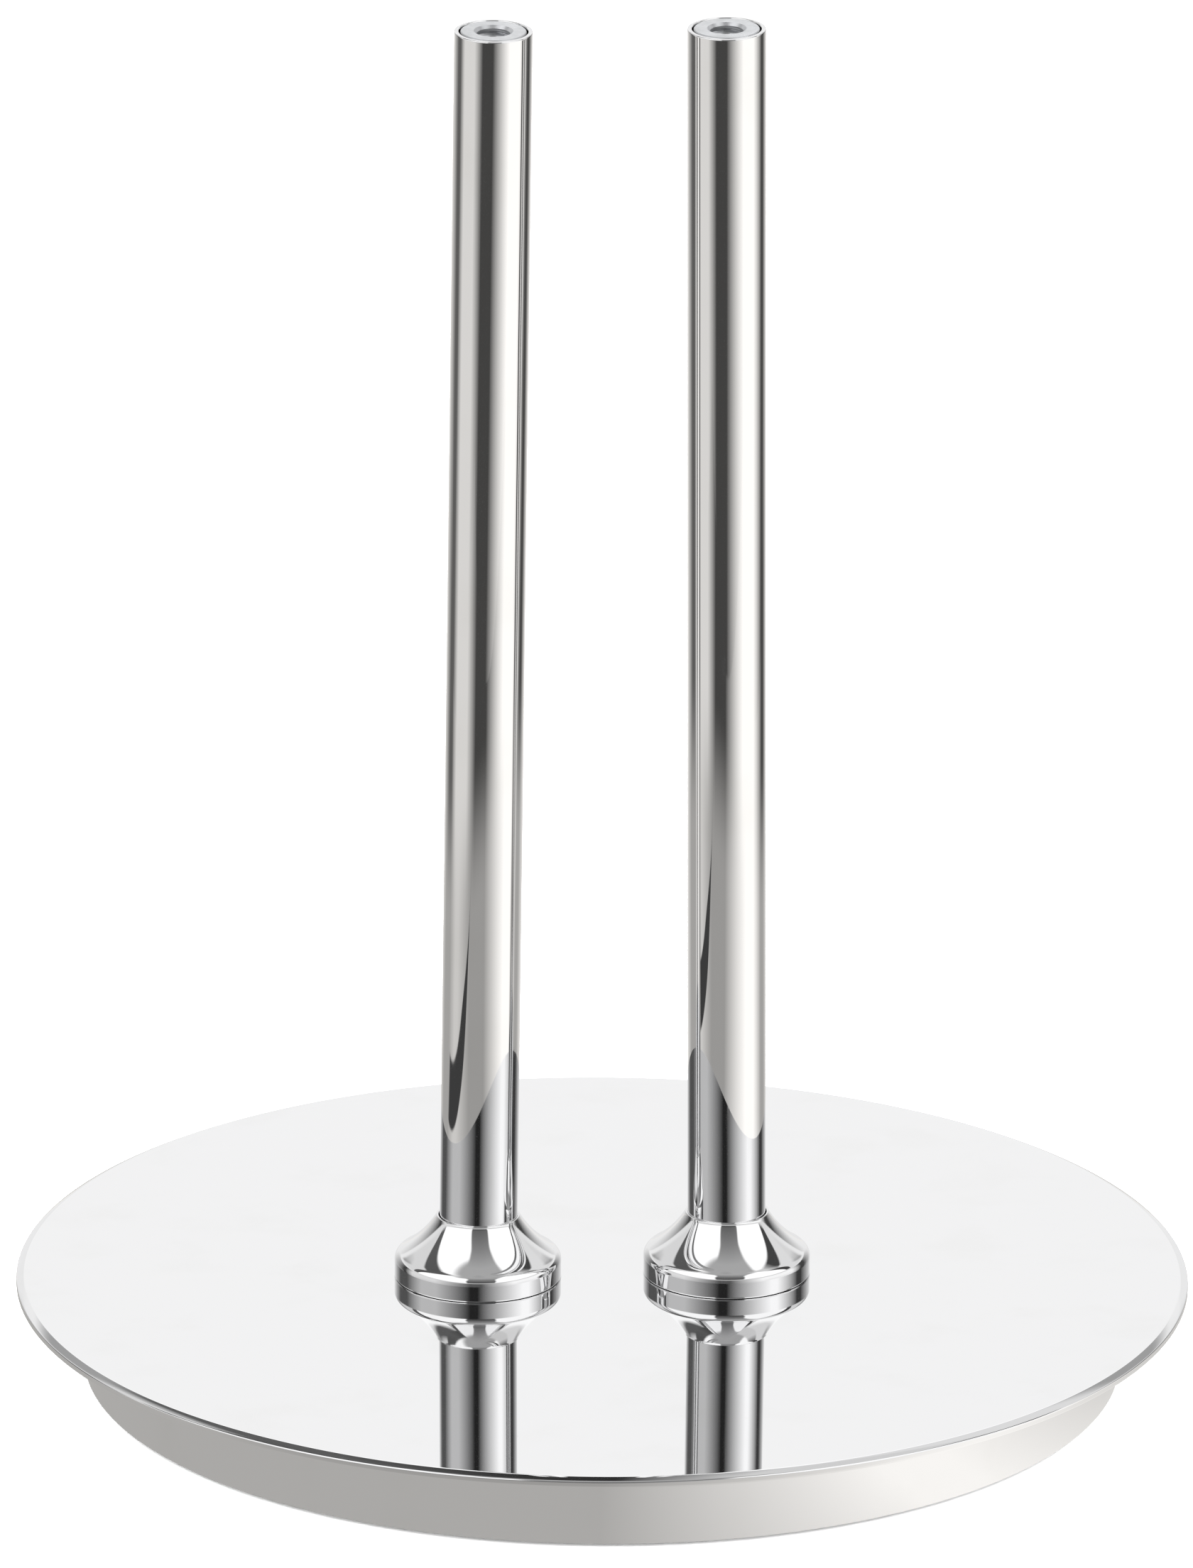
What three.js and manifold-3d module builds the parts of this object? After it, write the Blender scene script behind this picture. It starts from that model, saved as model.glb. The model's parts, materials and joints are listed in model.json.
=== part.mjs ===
// The base section of a chrome tiered stand: a round mirror plate on a shallow weighted drum, and
// two tubular posts that rise from turned collars. The posts end in threaded inserts, which take
// the next section.
// Millimetres, +Z up. The origin is on the table under the middle of the plate, and the posts
// stand side by side along X.

import * as THREE from "three";
import { mergeVertices } from "three/addons/utils/BufferGeometryUtils.js";
import Module from "manifold-3d";

// ---- Driving dimensions -------------------------------------------------------------------

const GAP = 0.3; // between pieces that meet in a turned group or along a faceted wall
const SEAT = 0.2; // between flat faces that rest on each other

// Plate and drum
const PLATE_RADIUS = 120;
const PLATE_THICKNESS = 2;
const PLATE_EDGE = 0.25; // chamfer on both edges of the rim
const PLATE_TOP_Z = 20.4;
const DRUM_RADIUS = 106;
const DRUM_WALL = 1.2;
const DRUM_CORNER = 2.5; // outer bend where the wall turns into the web
const DRUM_STANDOFF = 1; // bottom edge of the drum above the table

// Posts
const POST_SPACING = 51;
const POST_RADIUS = 8;
const POST_WALL = 1;
const POST_HEIGHT = 267; // top of the posts above the plate
const POST_LEAN = THREE.MathUtils.degToRad(0.42); // each post leans towards the other
const INSERT_LENGTH = 14;
const TAPPED_RADIUS = 3.4; // tapping size of the M8 thread in the upper inserts
const TAPPED_DEPTH = 11;

// Collars
const COLLAR_RADIUS = 17.1;
const COLLAR_BAND = 3.45; // top of the straight band above the plate
const COLLAR_SHOULDER = 2.1; // bend between the band and the flare
const COLLAR_SHOULDER_TURN = 64; // degrees that the bend turns through
const COLLAR_HEIGHT = 13.3;
const COLLAR_LIP = 0.45; // thickness of the lip round the post
const COLLAR_LIP_TURN = 30; // degrees above level that the top of the flare faces
const COLLAR_SEAT = 2.5; // floor of the socket above the collar's underside
const GASKET_RADIUS = 14.5;
const GASKET_THICKNESS = 0.8;

// Studs and their fasteners, M8
const STUD_RADIUS = 4;
const STUD_CLEARANCE = 4.6;
const STUD_BOTTOM_Z = 3.3;
const STUD_REACH = 12; // how far the stud stands above the plate
const WASHER_RADIUS = 8;
const WASHER_THICKNESS = 1.6;
const LOCK_RADIUS = 6.6;
const LOCK_THICKNESS = 1.8;
const NUT_ACROSS_FLATS = 13;
const NUT_THICKNESS = 4;

// Ballast, cover, cover screws and feet
const BALLAST_RADIUS = 99;
const BALLAST_BOTTOM_Z = 6.8;
const POCKET_RADIUS = 11;
const POCKET_CEILING_Z = 11.6;
const BOSS_RADIUS = 5;
const COVER_THICKNESS = 1;
const COVER_BOTTOM_Z = 1.8;
const COVER_HEM = 1; // gap between the cover and the inside of the drum
const SCREW_COUNT = 3;
const SCREW_CIRCLE = 60;
const SCREW_RADIUS = 2;
const SCREW_LENGTH = 6;
const SCREW_HEAD_RADIUS = 3.8;
const SCREW_HEAD_HEIGHT = 1.2;
const SCREW_SLOT = 0.9;
const FOOT_COUNT = 4;
const FOOT_CIRCLE = 88;
const FOOT_RADIUS = 8;
const FOOT_THICKNESS = 1.6;

// Sides of the round pieces
const WIDE_SIDES = 64;
const COLLAR_SIDES = 36;
const POST_SIDES = 32;
const SMALL_SIDES = 20;

// ---- Materials ----------------------------------------------------------------------------

const metal = (color, roughness) => new THREE.MeshStandardMaterial({ color, roughness, metalness: 1 });
const soft = (color, roughness) => new THREE.MeshStandardMaterial({ color, roughness, metalness: 0 });

const chrome = metal(0xdfe1e2, 0.05);
const zincSteel = metal(0xb4b6b6, 0.35);
const brass = metal(0xc4a35a, 0.3);
const castIron = soft(0x3a3b3c, 0.7);
const blackPaint = soft(0x1d1e20, 0.5);
const blackRubber = soft(0x151516, 0.85);
const clearVinyl = soft(0xc9cbc8, 0.4);

// ---- Geometry helpers ---------------------------------------------------------------------

const wasm = await Module();
wasm.setup();

// A closed geometry as a manifold-3d solid.
function toSolid(geometry) {
  const bare = geometry.clone();
  bare.deleteAttribute("normal");
  bare.deleteAttribute("uv");
  const merged = mergeVertices(bare, 1e-4);
  const vertProperties = new Float32Array(merged.attributes.position.array);
  const triVerts = new Uint32Array(merged.index.array);
  return new wasm.Manifold(new wasm.Mesh({ numProp: 3, vertProperties, triVerts }));
}

function toGeometry(solid) {
  const { vertProperties, triVerts } = solid.getMesh();
  const geometry = new THREE.BufferGeometry();
  geometry.setAttribute("position", new THREE.BufferAttribute(vertProperties, 3));
  geometry.setIndex(new THREE.BufferAttribute(triVerts, 1));
  geometry.computeVertexNormals();
  return geometry;
}

function cut(geometry, tools) {
  return toGeometry(tools.reduce((solid, tool) => solid.subtract(toSolid(tool)), toSolid(geometry)));
}

function join(geometry, additions) {
  return toGeometry(additions.reduce((solid, piece) => solid.add(toSolid(piece)), toSolid(geometry)));
}

// A solid of revolution about Z from [radius, height] pairs, listed anticlockwise.
function turned(profile, sides) {
  const points = profile.map(([radius, height]) => new THREE.Vector2(radius, height));
  return new THREE.LatheGeometry(points, sides).rotateX(Math.PI / 2);
}

function rod(radius, bottom, top, sides = SMALL_SIDES) {
  return turned([[0, bottom], [radius, bottom], [radius, top], [0, top]], sides);
}

function ring(outer, inner, bottom, top, sides = SMALL_SIDES) {
  return turned([[inner, bottom], [outer, bottom], [outer, top], [inner, top], [inner, bottom]], sides);
}

// Points of a circular arc, as [radius, height] pairs.
function arc(centre, size, startDegrees, endDegrees, steps) {
  return Array.from({ length: steps + 1 }, (_, i) => {
    const angle = THREE.MathUtils.degToRad(startDegrees + ((endDegrees - startDegrees) * i) / steps);
    return [centre[0] + size * Math.cos(angle), centre[1] + size * Math.sin(angle)];
  });
}

const postPlaces = [-POST_SPACING / 2, POST_SPACING / 2];

// Places spread evenly round a circle, the first at startDegrees.
function spread(count, radius, startDegrees) {
  return Array.from({ length: count }, (_, i) => {
    const angle = THREE.MathUtils.degToRad(startDegrees + (360 * i) / count);
    return [radius * Math.cos(angle), radius * Math.sin(angle)];
  });
}

const screwPlaces = spread(SCREW_COUNT, SCREW_CIRCLE, 90);
const footPlaces = spread(FOOT_COUNT, FOOT_CIRCLE, 45);

// ---- Base ---------------------------------------------------------------------------------

function topPlate() {
  const bottom = PLATE_TOP_Z - PLATE_THICKNESS;
  const disc = turned(
    [
      [0, bottom],
      [PLATE_RADIUS - PLATE_EDGE, bottom],
      [PLATE_RADIUS, bottom + PLATE_EDGE],
      [PLATE_RADIUS, PLATE_TOP_Z - PLATE_EDGE],
      [PLATE_RADIUS - PLATE_EDGE, PLATE_TOP_Z],
      [0, PLATE_TOP_Z],
    ],
    WIDE_SIDES,
  );
  const holes = postPlaces.map((x) => rod(STUD_CLEARANCE, bottom - 1, PLATE_TOP_Z + 1).translate(x, 0, 0));
  return cut(disc, holes);
}

const DRUM_TOP_Z = PLATE_TOP_Z - PLATE_THICKNESS - SEAT;

// A pressed pan, open underneath, whose web carries the plate.
function baseDrum() {
  const innerRadius = DRUM_RADIUS - DRUM_WALL;
  const webBottom = DRUM_TOP_Z - DRUM_WALL;
  const bend = [DRUM_RADIUS - DRUM_CORNER, DRUM_TOP_Z - DRUM_CORNER];
  const pan = turned(
    [
      [0, webBottom],
      ...arc(bend, DRUM_CORNER - DRUM_WALL, 90, 0, 3),
      [innerRadius, DRUM_STANDOFF],
      [DRUM_RADIUS, DRUM_STANDOFF],
      ...arc(bend, DRUM_CORNER, 0, 90, 4),
      [0, DRUM_TOP_Z],
    ],
    WIDE_SIDES,
  );
  const holes = postPlaces.map((x) => rod(STUD_CLEARANCE, webBottom - 1, DRUM_TOP_Z + 1).translate(x, 0, 0));
  return cut(pan, holes);
}

// A cast disc with a pocket round each stud's nut and a tapped boss for each cover screw.
function ballastWeight() {
  const top = DRUM_TOP_Z - DRUM_WALL - SEAT;
  const bossBottom = COVER_BOTTOM_Z + COVER_THICKNESS + SEAT;
  const disc = turned(
    [
      [0, BALLAST_BOTTOM_Z],
      [BALLAST_RADIUS - 1, BALLAST_BOTTOM_Z],
      [BALLAST_RADIUS, BALLAST_BOTTOM_Z + 1],
      [BALLAST_RADIUS, top - 1],
      [BALLAST_RADIUS - 1, top],
      [0, top],
    ],
    WIDE_SIDES,
  );
  const bosses = screwPlaces.map(([x, y]) => rod(BOSS_RADIUS, bossBottom, BALLAST_BOTTOM_Z + 1).translate(x, y, 0));
  const pockets = postPlaces.map((x) =>
    rod(POCKET_RADIUS, BALLAST_BOTTOM_Z - 1, POCKET_CEILING_Z).translate(x, 0, 0),
  );
  const studHoles = postPlaces.map((x) => rod(STUD_CLEARANCE, BALLAST_BOTTOM_Z, top + 1).translate(x, 0, 0));
  const tappedTop = COVER_BOTTOM_Z + SCREW_LENGTH + 1;
  const tappedHoles = screwPlaces.map(([x, y]) =>
    rod(SCREW_RADIUS + GAP, bossBottom - 1, tappedTop).translate(x, y, 0),
  );
  return cut(join(disc, bosses), [...pockets, ...studHoles, ...tappedHoles]);
}

function bottomCover() {
  const radius = DRUM_RADIUS - DRUM_WALL - COVER_HEM;
  const top = COVER_BOTTOM_Z + COVER_THICKNESS;
  const holes = screwPlaces.map(([x, y]) =>
    rod(SCREW_RADIUS + 2 * GAP, COVER_BOTTOM_Z - 1, top + 1).translate(x, y, 0),
  );
  return cut(rod(radius, COVER_BOTTOM_Z, top, WIDE_SIDES), holes);
}

// Pan head with a cross recess, head down.
function coverScrew() {
  const seat = -SEAT;
  const headBottom = seat - SCREW_HEAD_HEIGHT;
  const body = turned(
    [
      [0, headBottom],
      [SCREW_HEAD_RADIUS - 0.6, headBottom],
      [SCREW_HEAD_RADIUS, headBottom + 0.5],
      [SCREW_HEAD_RADIUS, seat],
      [SCREW_RADIUS, seat],
      [SCREW_RADIUS, SCREW_LENGTH - 0.5],
      [SCREW_RADIUS - 0.5, SCREW_LENGTH],
      [0, SCREW_LENGTH],
    ],
    SMALL_SIDES,
  );
  const slot = new THREE.BoxGeometry(2 * (SCREW_HEAD_RADIUS - 1.6), SCREW_SLOT, SCREW_HEAD_HEIGHT)
    .translate(0, 0, headBottom + 0.3);
  return cut(body, [slot, slot.clone().rotateZ(Math.PI / 2)]);
}

function footPad() {
  return turned(
    [
      [0, 0],
      [FOOT_RADIUS - 0.4, 0],
      [FOOT_RADIUS, 0.4],
      [FOOT_RADIUS, FOOT_THICKNESS],
      [0, FOOT_THICKNESS],
    ],
    SMALL_SIDES,
  );
}

// ---- Posts --------------------------------------------------------------------------------

// Heights in the post pieces are counted from the top of the plate.
const COLLAR_UNDERSIDE = GAP;
const SOCKET_FLOOR = COLLAR_UNDERSIDE + COLLAR_SEAT;
const POST_FOOT = SOCKET_FLOOR + GAP;

// A hollow arc from one point up to another, which faces endTurn degrees above level at its top.
function hollowArc(bottom, top, endTurn, steps) {
  const run = bottom[0] - top[0];
  const rise = top[1] - bottom[1];
  const chordTurn = THREE.MathUtils.radToDeg(Math.atan2(run, rise));
  const halfBend = chordTurn - endTurn;
  const size = Math.hypot(run, rise) / 2 / Math.sin(THREE.MathUtils.degToRad(halfBend));
  const facing = THREE.MathUtils.degToRad(endTurn);
  const centre = [top[0] + size * Math.cos(facing), top[1] + size * Math.sin(facing)];
  return arc(centre, size, 180 + chordTurn + halfBend, 180 + endTurn, steps);
}

// A turned socket: a straight band, a round shoulder, and a hollow flare that rises to a thin lip.
function postCollar() {
  const bore = POST_RADIUS + GAP;
  const bend = [COLLAR_RADIUS - COLLAR_SHOULDER, COLLAR_BAND];
  const shoulder = arc(bend, COLLAR_SHOULDER, 0, COLLAR_SHOULDER_TURN, 4);
  const flare = hollowArc(shoulder.at(-1), [bore + COLLAR_LIP, COLLAR_HEIGHT - COLLAR_LIP], COLLAR_LIP_TURN, 7);
  const recessRadius = GASKET_RADIUS + GAP;
  const recessTop = SEAT + GASKET_THICKNESS + SEAT;
  return turned(
    [
      [STUD_CLEARANCE, recessTop],
      [recessRadius, recessTop],
      [recessRadius, COLLAR_UNDERSIDE],
      [COLLAR_RADIUS, COLLAR_UNDERSIDE],
      ...shoulder,
      ...flare.slice(1),
      [bore, COLLAR_HEIGHT],
      [bore, SOCKET_FLOOR],
      [STUD_CLEARANCE, SOCKET_FLOOR],
      [STUD_CLEARANCE, recessTop],
    ],
    COLLAR_SIDES,
  );
}

function collarGasket() {
  return ring(GASKET_RADIUS, STUD_CLEARANCE, SEAT, SEAT + GASKET_THICKNESS, COLLAR_SIDES);
}

function postTube() {
  return ring(POST_RADIUS, POST_RADIUS - POST_WALL, POST_FOOT, POST_HEIGHT, POST_SIDES);
}

const insertRadius = POST_RADIUS - POST_WALL - GAP;

// Pressed into the foot of the tube, where the stud screws in.
function lowerInsert() {
  return ring(insertRadius, STUD_RADIUS + GAP, POST_FOOT, POST_FOOT + INSERT_LENGTH);
}

// Pressed into the head of the tube, with a blind tapped hole for the next section's stud.
function upperInsert() {
  return turned(
    [
      [0, POST_HEIGHT - INSERT_LENGTH],
      [insertRadius, POST_HEIGHT - INSERT_LENGTH],
      [insertRadius, POST_HEIGHT],
      [TAPPED_RADIUS, POST_HEIGHT],
      [TAPPED_RADIUS, POST_HEIGHT - TAPPED_DEPTH],
      [0, POST_HEIGHT - TAPPED_DEPTH - 1.5],
    ],
    SMALL_SIDES,
  );
}

function postStud() {
  const length = PLATE_TOP_Z - STUD_BOTTOM_Z + STUD_REACH;
  const chamfer = 0.6;
  return turned(
    [
      [0, 0],
      [STUD_RADIUS - chamfer, 0],
      [STUD_RADIUS, chamfer],
      [STUD_RADIUS, length - chamfer],
      [STUD_RADIUS - chamfer, length],
      [0, length],
    ],
    SMALL_SIDES,
  );
}

function flatWasher() {
  return ring(WASHER_RADIUS, STUD_CLEARANCE, 0, WASHER_THICKNESS);
}

// A spring washer: a ring with a narrow split.
function lockWasher() {
  const split = 0.08;
  const outline = new THREE.Shape();
  outline.absarc(0, 0, LOCK_RADIUS, split, 2 * Math.PI - split, false);
  outline.absarc(0, 0, STUD_CLEARANCE, 2 * Math.PI - split, split, true);
  outline.closePath();
  return new THREE.ExtrudeGeometry(outline, {
    depth: LOCK_THICKNESS,
    bevelEnabled: false,
    curveSegments: SMALL_SIDES,
  });
}

function hexNut() {
  const outline = new THREE.Shape(
    Array.from({ length: 6 }, (_, i) => {
      const corner = NUT_ACROSS_FLATS / Math.sqrt(3);
      const angle = (i * Math.PI) / 3;
      return new THREE.Vector2(corner * Math.cos(angle), corner * Math.sin(angle));
    }),
  );
  outline.holes.push(new THREE.Path().absarc(0, 0, STUD_RADIUS + GAP, 0, 2 * Math.PI, true));
  return new THREE.ExtrudeGeometry(outline, {
    depth: NUT_THICKNESS,
    bevelEnabled: false,
    curveSegments: SMALL_SIDES / 2,
  });
}

// ---- Assembly -----------------------------------------------------------------------------

function named(name, geometry, material, position = [0, 0, 0]) {
  const mesh = new THREE.Mesh(geometry, material);
  mesh.name = name;
  mesh.position.set(...position);
  return mesh;
}

function baseAssembly() {
  const group = new THREE.Group();
  group.add(
    named("top_plate", topPlate(), chrome),
    named("base_drum", baseDrum(), chrome),
    named("ballast_weight", ballastWeight(), castIron),
    named("bottom_cover", bottomCover(), blackPaint),
  );
  screwPlaces.forEach(([x, y], i) => {
    group.add(named(`cover_screw_${i + 1}`, coverScrew(), zincSteel, [x, y, COVER_BOTTOM_Z]));
  });
  footPlaces.forEach(([x, y], i) => {
    group.add(named(`foot_pad_${i + 1}`, footPad(), blackRubber, [x, y, 0]));
  });
  return group;
}

// The collar and the fasteners stand square to the plate.
function postFastening(side, x) {
  const group = new THREE.Group();
  const washerZ = POCKET_CEILING_Z - SEAT - WASHER_THICKNESS;
  const lockZ = washerZ - SEAT / 2 - LOCK_THICKNESS;
  const nutZ = lockZ - SEAT / 2 - NUT_THICKNESS;
  group.position.x = x;
  group.add(
    named(`post_collar_${side}`, postCollar(), chrome, [0, 0, PLATE_TOP_Z]),
    named(`collar_gasket_${side}`, collarGasket(), clearVinyl, [0, 0, PLATE_TOP_Z]),
    named(`post_stud_${side}`, postStud(), zincSteel, [0, 0, STUD_BOTTOM_Z]),
    named(`flat_washer_${side}`, flatWasher(), zincSteel, [0, 0, washerZ]),
    named(`lock_washer_${side}`, lockWasher(), zincSteel, [0, 0, lockZ]),
    named(`stud_nut_${side}`, hexNut(), zincSteel, [0, 0, nutZ]),
  );
  return group;
}

// The tube and its two inserts lean a little towards the other post.
function leaningPost(side, x) {
  const group = new THREE.Group();
  group.position.set(x, 0, PLATE_TOP_Z);
  group.rotation.y = -Math.sign(x) * POST_LEAN;
  group.add(
    named(`post_tube_${side}`, postTube(), chrome),
    named(`lower_insert_${side}`, lowerInsert(), brass),
    named(`upper_insert_${side}`, upperInsert(), zincSteel),
  );
  return group;
}

const stand = new THREE.Group();
stand.add(baseAssembly());
["left", "right"].forEach((side, i) => {
  stand.add(postFastening(side, postPlaces[i]), leaningPost(side, postPlaces[i]));
});

export default stand;
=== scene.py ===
import json
import math
from collections import namedtuple

import bmesh
import bpy
from mathutils import Matrix, Vector


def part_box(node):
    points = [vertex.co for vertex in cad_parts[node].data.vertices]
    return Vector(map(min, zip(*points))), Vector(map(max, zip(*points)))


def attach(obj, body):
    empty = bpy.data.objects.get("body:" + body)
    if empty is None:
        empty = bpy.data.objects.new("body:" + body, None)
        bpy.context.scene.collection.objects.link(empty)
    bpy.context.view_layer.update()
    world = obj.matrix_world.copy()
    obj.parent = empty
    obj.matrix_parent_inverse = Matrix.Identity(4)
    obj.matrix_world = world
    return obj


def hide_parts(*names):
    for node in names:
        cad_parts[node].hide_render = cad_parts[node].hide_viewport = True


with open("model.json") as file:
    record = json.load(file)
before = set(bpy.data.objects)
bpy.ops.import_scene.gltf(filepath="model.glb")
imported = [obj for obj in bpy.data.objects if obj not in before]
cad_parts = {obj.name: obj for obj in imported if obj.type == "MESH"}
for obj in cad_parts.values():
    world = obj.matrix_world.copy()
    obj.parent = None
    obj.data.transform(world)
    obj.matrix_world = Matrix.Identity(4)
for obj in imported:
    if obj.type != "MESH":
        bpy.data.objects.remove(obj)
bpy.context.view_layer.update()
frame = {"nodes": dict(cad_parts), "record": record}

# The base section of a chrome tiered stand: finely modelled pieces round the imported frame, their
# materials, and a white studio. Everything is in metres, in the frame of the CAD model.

MM = 0.001

# ---- Camera and studio sizes ---------------------------------------------------------------

VIEW_ELEVATION = math.radians(19.13)
VIEW_AZIMUTH = math.radians(-3.4)
VIEW_ROLL = math.radians(0.36)
VIEW_DISTANCE = 5.4
VIEW_LENS = 609
VIEW_AIM = Vector((-1.8, 0, 126.4)) * MM

FLOOR_LEFT_RIGHT = 0.45
FLOOR_FRONT = -0.45
FLOOR_BACK = 1.1
ROOM_BRIGHTNESS = 3.5

# ---- Sizes of the pieces that the frame doesn't give ---------------------------------------

ROUND_SIDES = 256
POST_SIDES = 128
SMALL_SIDES = 64
LEAD = 0.1 * MM
ON_AXIS = 1e-9

STUD_HOLE = 4.6 * MM
DRUM_WALL = 1.2 * MM
DRUM_CORNER = 2.5 * MM
COLLAR_CONTACT = 0.08 * MM
COLLAR_BAND = 3.45 * MM
SHOULDER_RADIUS = 2.1 * MM
SHOULDER_TURN = 64  # degrees that the bend above the band turns through
FLARE_TOP_TURN = 30  # degrees above level that the top of the flare faces
COLLAR_LIP = 0.5 * MM
POST_FOOT = 3.1 * MM
TUBE_WALL = 1 * MM
INSERT_LENGTH = 14 * MM
TAPPED_DEPTH = 11 * MM

Thread = namedtuple("Thread", "pitch depth")
M8 = Thread(1.25 * MM, 0.6 * MM)
M8_CLEAR = Thread(1.25 * MM, 0.35 * MM)
M4 = Thread(0.7 * MM, 0.35 * MM)

# ---- Places read from the frame ------------------------------------------------------------

Seat = namedtuple("Seat", "x y radius bottom top")


def seat_of(node):
    """Where a round node stands: its middle, radius, bottom and top."""
    low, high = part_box(node)
    return Seat((low.x + high.x) / 2, (low.y + high.y) / 2, (high.x - low.x) / 2, low.z, high.z)


PLATE = seat_of("top_plate")
DRUM = seat_of("base_drum")
BALLAST = seat_of("ballast_weight")
COVER = seat_of("bottom_cover")
SIDES = ("left", "right")
POST_PLACES = [(seat_of("post_collar_" + side).x, 0) for side in SIDES]
SCREWS = sorted(node for node in frame["nodes"] if node.startswith("cover_screw"))
SCREW_PLACES = [(seat_of(node).x, seat_of(node).y) for node in SCREWS]
FEET = sorted(node for node in frame["nodes"] if node.startswith("foot_pad"))
MOUNTS = {mount["name"]: mount for mount in frame["record"]["mounts"]}


# ---- Mesh helpers --------------------------------------------------------------------------


def arc(centre, radius, start, end, steps, lead=LEAD):
    """An arc of (radius, height) points, angles in degrees, with a short straight lead at each end.

    The leads keep the smooth shading of the bend off the long walls beside it.
    """
    points = []
    for i in range(steps + 1):
        angle = math.radians(start + (end - start) * i / steps)
        points.append((centre[0] + radius * math.cos(angle), centre[1] + radius * math.sin(angle)))
    if not lead:
        return points
    turn = math.copysign(90, end - start)
    way_in = math.radians(start + turn)
    way_out = math.radians(end + turn)
    before = (points[0][0] - lead * math.cos(way_in), points[0][1] - lead * math.sin(way_in))
    after = (points[-1][0] + lead * math.cos(way_out), points[-1][1] + lead * math.sin(way_out))
    return [before] + points + [after]


def threaded(radius, start, end, thread):
    """A threaded wall as (radius, height, cut, pitch) points; a wall that runs down is a bore's."""
    rows_per_turn = 10
    count = round(abs(end - start) / thread.pitch * rows_per_turn)
    outward = 1 if end > start else -1
    points = []
    for i in range(count + 1):
        turns_from_end = min(i, count - i) / rows_per_turn
        cut = thread.depth * min(1, turns_from_end)
        points.append((radius, start + (end - start) * i / count, cut * outward, thread.pitch))
    return points


def tooth(height, around, pitch):
    """How deep a thread is cut, from 0 at its crest to 1 at its root."""
    steepness = 1.3
    crest = 0.15
    phase = (height / pitch - around) % 1
    return min(1, max(0, abs(2 * phase - 1) * steepness - crest))


def revolved(profile, sides, closed=False):
    """A bmesh turned about Z from (radius, height) pairs that run anticlockwise."""
    mesh = bmesh.new()
    columns = []
    for radius, height, *thread in profile:
        if radius < ON_AXIS:
            columns.append([mesh.verts.new((0, 0, height))] * sides)
            continue
        column = []
        for i in range(sides):
            angle = 2 * math.pi * i / sides
            reach = radius
            if thread:
                cut, pitch = thread
                reach -= cut * tooth(height, i / sides, pitch)
            place = (reach * math.cos(angle), reach * math.sin(angle), height)
            column.append(mesh.verts.new(place))
        columns.append(column)
    pairs = list(zip(columns, columns[1:]))
    if closed:
        pairs.append((columns[-1], columns[0]))
    for lower, upper in pairs:
        for i in range(sides):
            j = (i + 1) % sides
            corners = []
            for vert in (lower[i], lower[j], upper[j], upper[i]):
                if vert not in corners:
                    corners.append(vert)
            if len(corners) > 2:
                mesh.faces.new(corners)
    return mesh


def swept_round(section, start, end, steps, rise):
    """A bmesh of a closed (radius, height) section carried part of the way round Z as it rises."""
    mesh = bmesh.new()
    loops = []
    for i in range(steps + 1):
        angle = start + (end - start) * i / steps
        lift = rise * i / steps
        places = [(r * math.cos(angle), r * math.sin(angle), z + lift) for r, z in section]
        loops.append([mesh.verts.new(place) for place in places])
    for near, far in zip(loops, loops[1:]):
        for k in range(len(section)):
            following = (k + 1) % len(section)
            mesh.faces.new((near[k], far[k], far[following], near[following]))
    mesh.faces.new(loops[0])
    mesh.faces.new(reversed(loops[-1]))
    return mesh


def object_from(name, mesh):
    data = bpy.data.meshes.new(name)
    mesh.to_mesh(data)
    mesh.free()
    piece = bpy.data.objects.new(name, data)
    bpy.context.scene.collection.objects.link(piece)
    return piece


def smoothed(piece, sharp_degrees=35):
    piece.data.shade_smooth()
    piece.data.set_sharp_from_angle(angle=math.radians(sharp_degrees))
    return piece


def shaped_by(piece, tool_mesh, operation, place=(0, 0, 0)):
    """Cuts, joins or intersects the piece with a tool, which is used up."""
    tool = object_from("tool", tool_mesh)
    tool.location = place
    modifier = piece.modifiers.new("shape", "BOOLEAN")
    modifier.operation = operation
    modifier.solver = "EXACT"
    modifier.object = tool
    depsgraph = bpy.context.evaluated_depsgraph_get()
    shaped = bpy.data.meshes.new_from_object(piece.evaluated_get(depsgraph))
    piece.modifiers.clear()
    piece.data = shaped
    bpy.data.objects.remove(tool)
    return piece


def drilled(piece, places, radius, low, high):
    """Cuts round holes along Z through the piece."""
    for x, y in places:
        drill = revolved([(0, low), (radius, low), (radius, high), (0, high)], SMALL_SIDES)
        shaped_by(piece, drill, "DIFFERENCE", (x, y, 0))
    return piece


def stands_for(piece, node, material):
    """The piece replaces a CAD node, rides with the stand and takes a material."""
    piece.data.materials.clear()
    piece.data.materials.append(material)
    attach(piece, "root")
    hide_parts(node)


def placed(piece, x, y, z):
    """Moves the piece's mesh; the object stays at the origin."""
    piece.data.transform(Matrix.Translation((x, y, z)))
    return piece


# ---- Material helpers ----------------------------------------------------------------------


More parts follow.
